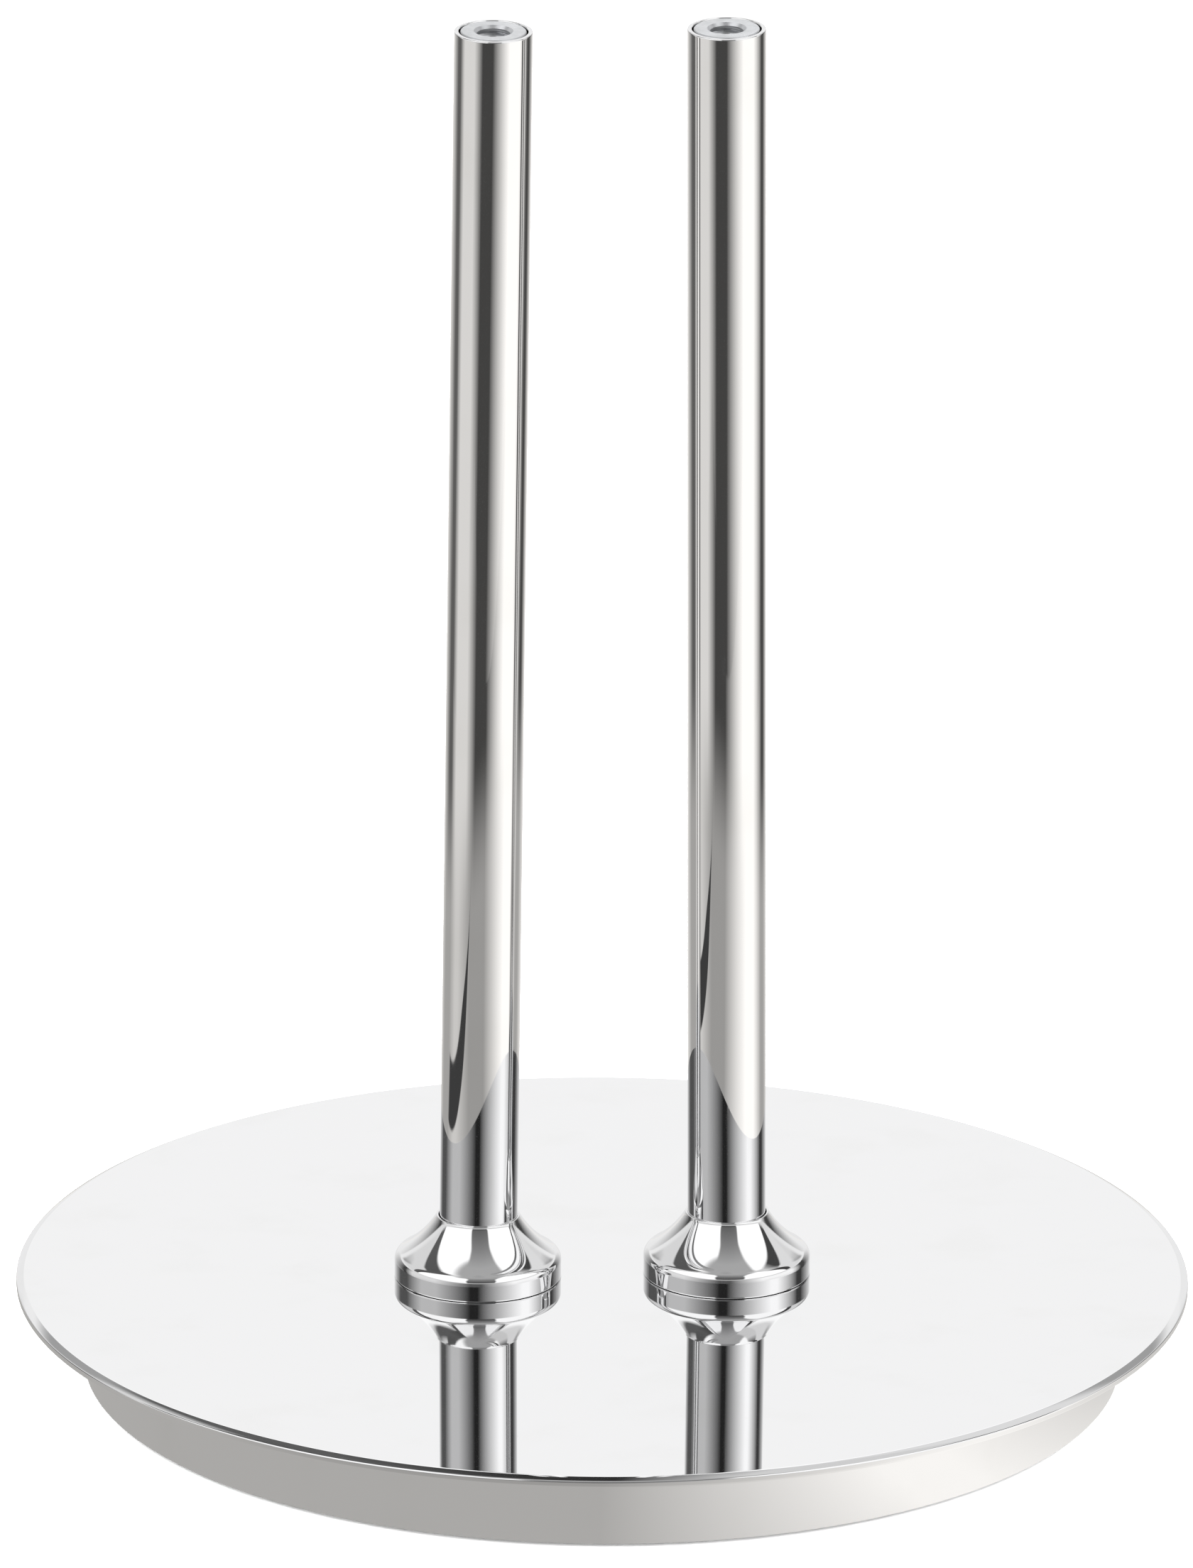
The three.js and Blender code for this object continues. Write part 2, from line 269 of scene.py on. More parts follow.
class Nodes:
    """A short way to build a node tree."""

    def __init__(self, tree):
        self.tree = tree
        tree.nodes.clear()

    def add(self, kind, inputs=None, **settings):
        node = self.tree.nodes.new(kind)
        for key, value in settings.items():
            setattr(node, key, value)
        for key, value in (inputs or {}).items():
            self.feed(node, key, value)
        return node

    def feed(self, node, key, value):
        if isinstance(value, bpy.types.NodeSocket):
            self.tree.links.new(value, node.inputs[key])
        else:
            node.inputs[key].default_value = value

    def math(self, operation, first, second=0.0, third=0.0):
        inputs = {0: first, 1: second, 2: third}
        return self.add("ShaderNodeMath", inputs, operation=operation).outputs[0]

    def between(self, value, low, high, to_low=0.0, to_high=1.0):
        """Goes smoothly from one level to another while the value goes from low to high."""
        inputs = {"Value": value, "From Min": low, "From Max": high}
        inputs.update({"To Min": to_low, "To Max": to_high})
        node = self.add("ShaderNodeMapRange", inputs, interpolation_type="SMOOTHSTEP")
        return node.outputs["Result"]

    def noise(self, vector, scale, detail=2.0, roughness=0.5):
        inputs = {"Vector": vector, "Scale": scale, "Detail": detail, "Roughness": roughness}
        return self.add("ShaderNodeTexNoise", inputs).outputs["Fac"]

    def mix(self, factor, first, second):
        node = self.add("ShaderNodeMix", data_type="RGBA")
        self.feed(node, 0, factor)
        self.feed(node, 6, first)
        self.feed(node, 7, second)
        return node.outputs[2]

    def ramp(self, factor, stops):
        node = self.add("ShaderNodeValToRGB", {"Fac": factor})
        node.color_ramp.interpolation = "LINEAR"
        elements = node.color_ramp.elements
        while len(elements) > 1:
            elements.remove(elements[-1])
        elements[0].position = stops[0][0]
        elements[0].color = stops[0][1]
        for position, color in stops[1:]:
            elements.new(position).color = color
        return node.outputs["Color"]


def new_material(name):
    material = bpy.data.materials.new(name)
    material.use_nodes = True
    return material, Nodes(material.node_tree)


def finished(nodes, shader):
    nodes.add("ShaderNodeOutputMaterial", {"Surface": shader.outputs[0]})


def grey(level, warmth=0.0):
    """A linear grey, a little warm or cool."""
    return (level * (1 + warmth), level, level * (1 - 1.6 * warmth), 1)


# ---- Materials -----------------------------------------------------------------------------

CHROME_CLEAN = (0.875, 0.875, 0.88, 1)
CHROME_SMEARED = (0.855, 0.855, 0.855, 1)
POLISH_ROUGHNESS = (0.012, 0.03)
SMEAR_ROUGHNESS = 0.02
HAIRLINE_ROUGHNESS = 0.04
BUMP = 0.3 * MM


def chrome_material(name, grain):
    """Mirror chrome: faint polishing lines along the grain, a few soft smears and hairlines."""
    material, nodes = new_material(name)
    place = nodes.add("ShaderNodeTexCoord").outputs["Object"]
    mapping = nodes.add("ShaderNodeMapping", {"Vector": place, "Scale": grain})
    lines_place = mapping.outputs["Vector"]
    lines = nodes.noise(lines_place, 1.0, detail=3.0)
    smears = nodes.between(nodes.noise(place, 45.0, detail=4.0), 0.5, 0.75)
    hairlines = nodes.between(nodes.noise(lines_place, 4.0, detail=1.0), 0.72, 0.78)
    polish = nodes.between(lines, 0.35, 0.8, *POLISH_ROUGHNESS)
    smeared = nodes.math("MULTIPLY_ADD", smears, SMEAR_ROUGHNESS, polish)
    roughness = nodes.math("MULTIPLY_ADD", hairlines, HAIRLINE_ROUGHNESS, smeared)
    tint = nodes.mix(smears, CHROME_CLEAN, CHROME_SMEARED)
    relief = nodes.add("ShaderNodeBump", {"Strength": 0.01, "Distance": 0.1 * MM, "Height": lines})
    look = {"Base Color": tint, "Metallic": 1.0, "Roughness": roughness}
    look["Normal"] = relief.outputs["Normal"]
    finished(nodes, nodes.add("ShaderNodeBsdfPrincipled", look))
    return material


def worked_metal(name, light, dark, roughness, relief, scale):
    """Bare or coated metal with a mottled colour and a fine relief."""
    material, nodes = new_material(name)
    place = nodes.add("ShaderNodeTexCoord").outputs["Object"]
    patches = nodes.noise(place, scale, detail=5.0, roughness=0.6)
    grains = nodes.noise(place, scale * 9, detail=2.0)
    color = nodes.mix(nodes.between(patches, 0.35, 0.7), dark, light)
    rough = nodes.between(patches, 0.3, 0.75, roughness * 1.25, roughness * 0.8)
    bump = nodes.add("ShaderNodeBump", {"Strength": relief, "Distance": BUMP, "Height": grains})
    look = {"Base Color": color, "Metallic": 1.0, "Roughness": rough}
    look["Normal"] = bump.outputs["Normal"]
    finished(nodes, nodes.add("ShaderNodeBsdfPrincipled", look))
    return material


def coated(name, light, dark, roughness, relief, scale):
    """Paint, rubber or vinyl: no metal, with a mottled colour and a pebbled skin."""
    material, nodes = new_material(name)
    place = nodes.add("ShaderNodeTexCoord").outputs["Object"]
    patches = nodes.noise(place, scale, detail=4.0)
    pebbles = nodes.noise(place, scale * 14, detail=2.0)
    color = nodes.mix(nodes.between(patches, 0.3, 0.7), dark, light)
    rough = nodes.between(patches, 0.25, 0.75, roughness * 0.85, roughness * 1.1)
    bump = nodes.add("ShaderNodeBump", {"Strength": relief, "Distance": BUMP, "Height": pebbles})
    look = {"Base Color": color, "Roughness": rough, "Normal": bump.outputs["Normal"]}
    finished(nodes, nodes.add("ShaderNodeBsdfPrincipled", look))
    return material


CHROME_PLATE = chrome_material("chrome_plate", (60, 60, 60))
CHROME_DRUM = chrome_material("chrome_drum", (40, 40, 900))
CHROME_POST = chrome_material("chrome_post", (300, 300, 12))
CHROME_COLLAR = chrome_material("chrome_collar", (60, 60, 900))
ZINC = worked_metal(
    "zinc_plate", (0.66, 0.67, 0.69, 1), (0.52, 0.53, 0.54, 1), roughness=0.3, relief=0.1, scale=160
)
BRASS = worked_metal(
    "turned_brass", (0.8, 0.62, 0.32, 1), (0.66, 0.48, 0.22, 1), roughness=0.28, relief=0.1, scale=160
)
CAST_IRON = coated(
    "cast_iron", (0.09, 0.09, 0.095, 1), (0.045, 0.045, 0.05, 1), roughness=0.7, relief=0.6, scale=120
)
BLACK_COAT = coated(
    "powder_coat",
    (0.035, 0.035, 0.037, 1),
    (0.022, 0.022, 0.024, 1),
    roughness=0.45,
    relief=0.25,
    scale=90,
)
RUBBER = coated(
    "foot_rubber", (0.04, 0.04, 0.04, 1), (0.02, 0.02, 0.02, 1), roughness=0.8, relief=0.4, scale=220
)
VINYL = coated(
    "gasket_vinyl", (0.6, 0.61, 0.6, 1), (0.5, 0.51, 0.5, 1), roughness=0.35, relief=0.15, scale=200
)


# ---- Base ----------------------------------------------------------------------------------


def crowned_edge(radius, top, bends):
    """A rounded upper edge, from its wall to its top: arcs of (radius, end turn), one after another."""
    points = [(0.0, 0.0)]
    start = 0
    for size, end in bends:
        x, z = points[-1]
        turn = math.radians(start)
        centre = (x - size * math.cos(turn), z - size * math.sin(turn))
        points += arc(centre, size, start, end, 6, lead=0)[1:]
        start = end
    rise = points[-1][1]
    return [(radius + x, top - rise + z) for x, z in points]


def build_plate():
    """A flat disc with a soft bevel round its top edge, bored for the two studs."""
    bottom_edge = 0.3 * MM
    bends = [(0.35 * MM, 61), (11 * MM, 68), (0.8 * MM, 90)]
    edge = crowned_edge(PLATE.radius, PLATE.top, bends)
    profile = [(0, PLATE.bottom), (PLATE.radius / 2, PLATE.bottom)]
    profile += arc((PLATE.radius - bottom_edge, PLATE.bottom + bottom_edge), bottom_edge, -90, 0, 5)
    profile += [(PLATE.radius, edge[0][1] - LEAD)] + edge + [(edge[-1][0] - LEAD, PLATE.top)]
    profile += [(PLATE.radius / 2, PLATE.top), (0, PLATE.top)]
    plate = object_from("plate", revolved(profile, ROUND_SIDES))
    drilled(plate, POST_PLACES, STUD_HOLE, PLATE.bottom - MM, PLATE.top + MM)
    stands_for(smoothed(plate), "top_plate", CHROME_PLATE)


def build_drum():
    """A pressed pan, open underneath, with a rounded bottom edge."""
    bend = (DRUM.radius - DRUM_CORNER, DRUM.top - DRUM_CORNER)
    lip = DRUM_WALL / 2
    profile = [(0, DRUM.top - DRUM_WALL)]
    profile += arc(bend, DRUM_CORNER - DRUM_WALL, 90, 0, 6)
    profile += arc((DRUM.radius - lip, DRUM.bottom + lip), lip, 180, 360, 10)
    profile += arc(bend, DRUM_CORNER, 0, 90, 10)
    profile += [(0, DRUM.top)]
    drum = object_from("drum", revolved(profile, ROUND_SIDES))
    drilled(drum, POST_PLACES, STUD_HOLE, DRUM.top - 3 * MM, DRUM.top + MM)
    stands_for(smoothed(drum), "base_drum", CHROME_DRUM)


def build_ballast():
    """A cast disc with soft edges, a pocket round each stud's nut and a boss for each cover screw."""
    edge = 1.5 * MM
    pocket_radius = 11 * MM
    pocket_top = seat_of("flat_washer_left").top + 0.2 * MM
    boss_radius = 5 * MM
    boss_height = 3.8 * MM
    screw_bore = 2.3 * MM
    screw_depth = 6 * MM
    body_bottom = BALLAST.bottom + boss_height
    profile = [(0, body_bottom)]
    profile += arc((BALLAST.radius - edge, body_bottom + edge), edge, -90, 0, 6)
    profile += arc((BALLAST.radius - edge, BALLAST.top - edge), edge, 0, 90, 6)
    profile += [(0, BALLAST.top)]
    ballast = object_from("ballast", revolved(profile, ROUND_SIDES))
    for x, y in SCREW_PLACES:
        foot = body_bottom + MM
        boss = [(0, BALLAST.bottom)]
        boss += arc((boss_radius - MM, BALLAST.bottom + MM), MM, -90, 0, 4)
        boss += [(boss_radius, foot), (0, foot)]
        shaped_by(ballast, revolved(boss, SMALL_SIDES), "UNION", (x, y, 0))
    drilled(ballast, POST_PLACES, pocket_radius, body_bottom - MM, pocket_top)
    drilled(ballast, POST_PLACES, STUD_HOLE, body_bottom - MM, BALLAST.top + MM)
    drilled(ballast, SCREW_PLACES, screw_bore, BALLAST.bottom - MM, BALLAST.bottom + screw_depth)
    stands_for(smoothed(ballast), "ballast_weight", CAST_IRON)


def build_cover():
    """A thin disc with two stiffening beads pressed up into it."""
    thickness = COVER.top - COVER.bottom
    edge = thickness / 2
    bead = 0.7 * MM
    bead_places = (COVER.radius * 0.33, COVER.radius * 0.75)
    bead_half = 3 * MM
    screw_hole = 2.6 * MM
    steps = 8

    def pressed(height):
        rows = []
        for middle in bead_places:
            for i in range(steps + 1):
                along = i / steps
                lift = bead * (1 - math.cos(2 * math.pi * along)) / 2
                rows.append((middle + bead_half * (2 * along - 1), height + lift))
        return rows

    profile = [(0, COVER.bottom)] + pressed(COVER.bottom)
    profile += arc((COVER.radius - edge, COVER.bottom + edge), edge, -90, 90, 10)
    profile += list(reversed(pressed(COVER.top))) + [(0, COVER.top)]
    cover = object_from("cover", revolved(profile, ROUND_SIDES))
    drilled(cover, SCREW_PLACES, screw_hole, COVER.bottom - MM, COVER.top + MM)
    stands_for(smoothed(cover), "bottom_cover", BLACK_COAT)


def cross_blade(length, width, depth):
    """One blade of a cross recess, narrower at its inner end; its mouth is at height 0."""
    inner_taper = 0.55
    beyond_mouth = 0.2 * MM
    mesh = bmesh.new()
    bmesh.ops.create_cube(mesh, size=1)
    for vert in mesh.verts:
        inner = vert.co.z > 0
        taper = inner_taper if inner else 1.0
        height = depth if inner else -beyond_mouth
        vert.co = (vert.co.x * length * taper, vert.co.y * width * taper, height)
    return mesh


def build_cover_screw(node):
    """A pan-head screw, head down, with a cross recess and a threaded shank."""
    seat = seat_of(node)
    head_top = seat.bottom + 1.2 * MM
    crown = 0.6 * MM
    shank = 2 * MM
    plain_shank = 0.3 * MM
    tip = 0.5 * MM
    blade_length = 4 * MM
    blade_width = 0.9 * MM
    recess_depth = 0.9 * MM
    profile = [(0, seat.bottom)]
    profile += arc((seat.radius - crown, seat.bottom + crown), crown, -90, 0, 6)
    profile += [(seat.radius, head_top), (shank, head_top)]
    profile += threaded(shank, head_top + plain_shank, seat.top - tip, M4)
    profile += [(shank - tip, seat.top), (0, seat.top)]
    screw = object_from("screw_" + node[-1], revolved(profile, SMALL_SIDES))
    for turn in (0, math.pi / 2):
        blade = cross_blade(blade_length, blade_width, recess_depth)
        bmesh.ops.rotate(blade, verts=blade.verts, matrix=Matrix.Rotation(turn, 3, "Z"))
        shaped_by(screw, blade, "DIFFERENCE", (0, 0, seat.bottom))
    stands_for(placed(smoothed(screw), seat.x, seat.y, 0), node, ZINC)


def build_foot(node):
    """A soft round pad with a rounded edge and two grip rings round a shallow hollow."""
    seat = seat_of(node)
    groove = 0.3 * MM
    edge = 0.5 * MM
    grip_rings = (3 * MM, 5.5 * MM)
    profile = [(0, seat.bottom + groove)]
    for radius in grip_rings:
        profile += [(radius, seat.bottom + groove), (radius + groove, seat.bottom)]
        profile += [(radius + 4 * groove, seat.bottom), (radius + 5 * groove, seat.bottom + groove)]
    profile += arc((seat.radius - edge, seat.bottom + edge), edge, -70, 0, 6)
    profile += arc((seat.radius - groove, seat.top - groove), groove, 0, 90, 4)
    profile += [(0, seat.top)]
    foot = object_from("foot_" + node[-1], revolved(profile, SMALL_SIDES))
    stands_for(placed(smoothed(foot, 50), seat.x, seat.y, 0), node, RUBBER)


# ---- Post fastenings -----------------------------------------------------------------------


def rounded_ring(outer, inner, bottom, top, edge):
    """The closed section of a flat ring with rounded edges, anticlockwise."""
    lead = 0.2 * edge
    section = arc((inner + edge, bottom + edge), edge, 180, 270, 3, lead)
    section += arc((outer - edge, bottom + edge), edge, -90, 0, 3, lead)
    section += arc((outer - edge, top - edge), edge, 0, 90, 3, lead)
    section += arc((inner + edge, top - edge), edge, 90, 180, 3, lead)
    return section


def build_gasket(side):
    seat = seat_of("collar_gasket_" + side)
    section = rounded_ring(seat.radius, STUD_HOLE, seat.bottom, seat.top, 0.25 * MM)
    gasket = object_from("gasket_" + side, revolved(section, POST_SIDES, closed=True))
    placed(smoothed(gasket), seat.x, 0, 0)
    stands_for(gasket, "collar_gasket_" + side, VINYL)


def build_stud(side):
    seat = seat_of("post_stud_" + side)
    chamfer = 0.8 * MM
    profile = [(0, seat.bottom), (seat.radius - chamfer, seat.bottom)]
    profile += threaded(seat.radius, seat.bottom + chamfer, seat.top - chamfer, M8)
    profile += [(seat.radius - chamfer, seat.top), (0, seat.top)]
    stud = object_from("stud_" + side, revolved(profile, SMALL_SIDES))
    stands_for(placed(smoothed(stud), seat.x, 0, 0), "post_stud_" + side, ZINC)


def build_flat_washer(side):
    seat = seat_of("flat_washer_" + side)
    section = rounded_ring(seat.radius, STUD_HOLE, seat.bottom, seat.top, 0.2 * MM)
    washer = object_from("washer_" + side, revolved(section, SMALL_SIDES, closed=True))
    stands_for(placed(smoothed(washer), seat.x, 0, 0), "flat_washer_" + side, ZINC)


def build_lock_washer(side):
    """A spring washer: a square wire bent round, with a split and its ends set apart."""
    low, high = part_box("lock_washer_" + side)
    outer = (high.y - low.y) / 2
    rise = 0.35 * MM
    half_split = 0.08
    section = rounded_ring(outer, STUD_HOLE, low.z, high.z - rise, 0.15 * MM)
    mesh = swept_round(section, half_split, 2 * math.pi - half_split, SMALL_SIDES, rise)
    washer = object_from("spring_washer_" + side, mesh)
    place = seat_of("post_stud_" + side).x
    stands_for(placed(smoothed(washer), place, 0, 0), "lock_washer_" + side, ZINC)


def build_nut(side):
    """A hexagon nut, chamfered on both faces, with a threaded bore."""
    seat = seat_of("stud_nut_" + side)
    height = seat.top - seat.bottom
    flats = seat.radius * math.cos(math.pi / 6)
    hexagon = [(0, seat.bottom), (seat.radius, seat.bottom), (seat.radius, seat.top), (0, seat.top)]
    nut = object_from("nut_" + side, revolved(hexagon, 6))
    slope = height / 2
    face = flats * 0.97
    reach = face + slope * math.tan(math.radians(60))
    barrel = [(0, seat.bottom), (face, seat.bottom), (reach, seat.bottom + slope)]
    barrel += [(face, seat.top), (0, seat.top)]
    shaped_by(nut, revolved(barrel, POST_SIDES), "INTERSECT")
    bore = 4.45 * MM
    beyond = 0.5 * MM
    thread_cutter = [(0, seat.bottom - beyond), (bore, seat.bottom - beyond)]
    thread_cutter += threaded(bore, seat.bottom - beyond / 2, seat.top + beyond / 2, M8_CLEAR)
    thread_cutter += [(bore, seat.top + beyond), (0, seat.top + beyond)]
    shaped_by(nut, revolved(thread_cutter, SMALL_SIDES), "DIFFERENCE")
    stands_for(placed(smoothed(nut), seat.x, 0, 0), "stud_nut_" + side, ZINC)


# ---- Posts ---------------------------------------------------------------------------------


def lean_of(side):
    axis = MOUNTS["post_top_" + side]["axis"]
    return math.atan2(axis[0], axis[2])


def set_up_post(piece, side):
    """Moves a piece made upright about Z, with the plate's top at 0, on to its leaning post."""
    turn = Matrix.Rotation(lean_of(side), 4, "Y")
    place = Matrix.Translation((seat_of("post_collar_" + side).x, 0, PLATE.top))
    piece.data.transform(place @ turn)
    return piece


def post_length(side):
    """From the plate's top to the end of the post, along the post."""
    return (MOUNTS["post_top_" + side]["pos_m"][2] - PLATE.top) / math.cos(lean_of(side))


def post_radius(node):
    """The radius of a leaning round node, which leans along X only."""
    low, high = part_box(node)
    return (high.y - low.y) / 2


def build_tube(side):
    radius = post_radius("post_tube_" + side)
    edge = 0.25 * MM
    top = post_length(side)
    profile = arc((radius - TUBE_WALL + edge, POST_FOOT + edge), edge, 180, 270, 3)
    profile += arc((radius - edge, POST_FOOT + edge), edge, -90, 0, 3)
    profile += arc((radius - edge, top - edge), edge, 0, 90, 4)
    profile += arc((radius - TUBE_WALL + edge, top - edge), edge, 90, 180, 4)
    tube = object_from("tube_" + side, revolved(profile, POST_SIDES, closed=True))
    stands_for(set_up_post(smoothed(tube), side), "post_tube_" + side, CHROME_POST)


def collar_profile(outer, height):
    """The collar's section: up the band, round the shoulder, up the hollow flare, down the socket.

    Turns are the angles of the surface's normal above the horizontal, in degrees.
    """
    bore = 8.07 * MM
    soft = 0.22 * MM
    gasket_recess = 14.8 * MM
    recess_top = 1.2 * MM
    socket_floor = 2.8 * MM
    lip_top = (bore + COLLAR_LIP, height - COLLAR_LIP / 2)
    bend = (outer - SHOULDER_RADIUS, COLLAR_BAND)
    shoulder = arc(bend, SHOULDER_RADIUS, 0, SHOULDER_TURN, 14, lead=0)
    shoulder_top = shoulder[-1]
    inward = shoulder_top[0] - lip_top[0]
    upward = lip_top[1] - shoulder_top[1]
    chord = math.dist(shoulder_top, lip_top)
    chord_turn = math.degrees(math.atan2(inward, upward))
    half_bend = chord_turn - FLARE_TOP_TURN
    flare_radius = chord / 2 / math.sin(math.radians(half_bend))
    top_turn = math.radians(FLARE_TOP_TURN)
    flare_middle = lip_top[0] + flare_radius * math.cos(top_turn)
    flare_centre = (flare_middle, lip_top[1] + flare_radius * math.sin(top_turn))
    flare_start = 180 + chord_turn + half_bend
    flare = arc(flare_centre, flare_radius, flare_start, 180 + FLARE_TOP_TURN, 24, lead=0)
    lip_centre = (bore + COLLAR_LIP / 2, height - COLLAR_LIP / 2)
    profile = [(STUD_HOLE, recess_top), (gasket_recess, recess_top), (gasket_recess, COLLAR_CONTACT)]
    profile += arc((outer - soft, COLLAR_CONTACT + soft), soft, -90, 0, 3)
    profile += [(outer, COLLAR_BAND - LEAD)] + shoulder + flare[1:]
    profile += arc(lip_centre, COLLAR_LIP / 2, 20, 180, 8, lead=0)
    profile += [(bore, socket_floor), (STUD_HOLE, socket_floor)]
    return profile


def build_collar(side):
    seat = seat_of("post_collar_" + side)
    profile = collar_profile(seat.radius, seat.top - PLATE.top)
    collar = object_from("collar_" + side, revolved(profile, POST_SIDES, closed=True))
    placed(smoothed(collar, 30), seat.x, 0, PLATE.top)
    stands_for(collar, "post_collar_" + side, CHROME_COLLAR)


def build_lower_insert(side):
    """A brass bush pressed into the foot of the tube, with two grooves and a threaded bore."""
    node = "lower_insert_" + side
    radius = post_radius(node)
    top = POST_FOOT + INSERT_LENGTH
    edge = 0.4 * MM
    groove = 0.5 * MM
    bore = 4.1 * MM
    profile = [(bore + edge, POST_FOOT)]
    profile += [(radius - edge, POST_FOOT), (radius, POST_FOOT + edge)]
    for height in (POST_FOOT + 4 * MM, POST_FOOT + 9 * MM):
        profile += [(radius, height), (radius - groove, height + groove)]
        profile += [(radius - groove, height + 2 * groove), (radius, height + 3 * groove)]
    profile += [(radius, top - edge), (radius - edge, top), (bore + edge, top)]
    profile += threaded(bore, top - edge, POST_FOOT + edge, M8_CLEAR)
    insert = object_from("insert_low_" + side, revolved(profile, SMALL_SIDES, closed=True))
    stands_for(set_up_post(smoothed(insert), side), node, BRASS)


def build_upper_insert(side):
    """A plug in the head of the tube with a blind threaded hole for the next section's stud."""
    radius = post_radius("upper_insert_" + side)
    top = post_length(side)
    bottom = top - INSERT_LENGTH
    edge = 0.3 * MM
    bore = 3.4 * MM
    mouth = 0.6 * MM
    drill_point = 1.5 * MM
    bore_bottom = top - TAPPED_DEPTH
    profile = [(0, bottom), (radius - edge, bottom), (radius, bottom + edge)]
    profile += arc((radius - edge, top - edge), edge, 0, 90, 4)
    profile += [(bore + mouth, top)]
    profile += threaded(bore, top - mouth, bore_bottom, M8)
    profile += [(0, bore_bottom - drill_point)]
    insert = object_from("insert_top_" + side, revolved(profile, SMALL_SIDES))
    stands_for(set_up_post(smoothed(insert), side), "upper_insert_" + side, ZINC)


# ---- Studio --------------------------------------------------------------------------------

# The chrome mirrors panels, flags and walls that stand round the studio. They are given as (first
# degree, last degree, brightness), with 0 on the camera's side and 90 on its right, and each blends
# into the next.

# Beyond the table and below the level of the eye; the posts stretch these into their long stripes.
FAR_BELOW = [
    (-180, -160, 0.9),  # back wall
    (-120, -108, 0.12),  # dark flag on the left
    (-90, -55, 0.75),  # left wall
    (-30, 0, 0.06),  # dark flag by the camera
    (50, 85, 1.15),  # soft light on the right
    (120, 130, 0.07),  # dark flag on the right
    (160, 180, 0.9),  # back wall
]
# Painted light: the table beyond the drum, glowing as the same panels would light it.
TABLE_PAINTED_LIGHT = [
    (-180, -160, 0.8),
    (-130, -105, 0.4),
    (-85, -75, 0.65),
    (-40, 0, 0.35),
    (60, 85, 1.15),
    (115, 130, 0.4),
    (160, 180, 0.8),
]
# Painted shade: the table close round the drum, which the drum's wall mirrors, glowing darker where the
# plate would shade it.
BESIDE_DRUM_PAINTED_SHADE = [
    (-180, -180, 0.5),
    (-100, 0, 0.45),
    (40, 50, 1.05),
    (90, 110, 0.65),
    (180, 180, 0.5),
]
# At the level of the eye.
HORIZON = [
    (-180, -160, 0.9),
    (-120, -115, 0.06),
    (-100, -60, 0.8),
    (-10, 5, 0.1),
    (50, 100, 1.05),
    (120, 130, 0.06),
    (160, 180, 0.9),
]
# Just above that, for what has been mirrored twice, such as a post's image in the plate.
FAR_ABOVE = [
    (-180, -170, 1.0),
    (-135, -115, 0.1),
    (-85, -60, 0.6),
    (-10, 0, 0.02),
    (65, 75, 1.2),
    (115, 125, 0.05),
    (170, 180, 1.0),
]
# Just above that, for what has been mirrored once, such as the wall in the bare plate.
OPEN_WALL = [
    (-180, -180, 1.0),
    (-110, -110, 0.8),
    (0, 0, 0.6),
    (110, 110, 0.8),
    (180, 180, 1.0),
]
BELOW_WARMTH = 0.02

# Where each level starts to give way to the next and where it has, as the upward part of a direction.
HORIZON_STARTS = (-0.1, 0.0)
ABOVE_STARTS = (0.28, 0.325)
OVERHEAD_STARTS = (0.37, 0.46)
# The world's ray depth is 2 after one mirror and 3 after two.
SECOND_MIRROR = (2.25, 2.75)

# Overhead the room is a grey strip that runs from the camera's side (-1) to the back (1), between two
# bright panels.
OVERHEAD_STRIP = [(-0.9, 0.06), (-0.75, 0.13), (-0.45, 0.25), (-0.1, 0.42), (1, 0.45)]
STRIP_MIDDLE = 0.07
STRIP_NARROWS = (-0.75, -0.4)
STRIP_HALF_WIDTHS = (0.31, 0.235)
STRIP_BLUR = 0.03
PANEL = 1.2
PANEL_ENDS = (0.94, 0.98)

# Behind them come a dark gap with a light patch in it, a light ceiling beyond the gap and the back
# wall, as (place, brightness) from the left (-1) to the right (1).
GAP = [(-1, 0.12), (-0.42, 0.1), (-0.28, 0.12), (-0.1, 0.04), (0.02, 0.03)]
GAP += [(0.17, 0.7), (0.38, 0.7), (0.5, 0.06), (1, 0.06)]
BEYOND_GAP = [(-1, 0.75), (-0.45, 0.75), (-0.36, 0.12), (-0.2, 0.12)]
BEYOND_GAP += [(-0.12, 1.15), (0.12, 1.15), (0.2, 0.8), (1, 0.8)]
BACK_WALL = [(-1, 0.75), (-0.58, 0.75), (-0.45, 0.38), (-0.3, 0.38), (-0.15, 1.15)]
BACK_WALL += [(0.15, 1.15), (0.3, 0.38), (0.45, 0.38), (0.58, 0.75), (1, 0.75)]
# Each with where it starts, as the backward part of a direction over its upward part.
BEHIND_PANELS = [((0.18, 0.26), GAP), ((0.52, 0.6), BEYOND_GAP), ((0.95, 1.25), BACK_WALL)]
LEAST_UPWARD = 0.05

# The rings of the table's painted light and shade, by distance from the stand's middle, and the dark
# stripe on the table's left.
BESIDE_DRUM_ENDS = (0.155, 0.175)
TABLE_ENDS = (0.31, 0.42)
DARK_STRIPE = 0.05
DARK_STRIPE_X = -0.205
DARK_STRIPE_WIDENS = (-0.26, -0.12)
DARK_STRIPE_HALF_WIDTHS = (0.002, 0.024)
DARK_STRIPE_BLUR = 0.004
DARK_STRIPE_ENDS = (0.03, 0.05)


def round_stops(panels, warmth=0.0):
    """Ramp stops from panels of (first degree, last degree, brightness)."""
    stops = []
    for first, last, level in panels:
        stops.append(((first + 180) / 360, grey(level, warmth)))
        if last > first:
            stops.append(((last + 180) / 360, grey(level, warmth)))
    return stops


def across(nodes, place, levels):
    """A brightness read from (place, brightness) pairs, with places from -1 to 1."""
    stops = [((position + 1) / 2, grey(level)) for position, level in levels]
    return nodes.ramp(nodes.math("MULTIPLY_ADD", place, 0.5, 0.5), stops)


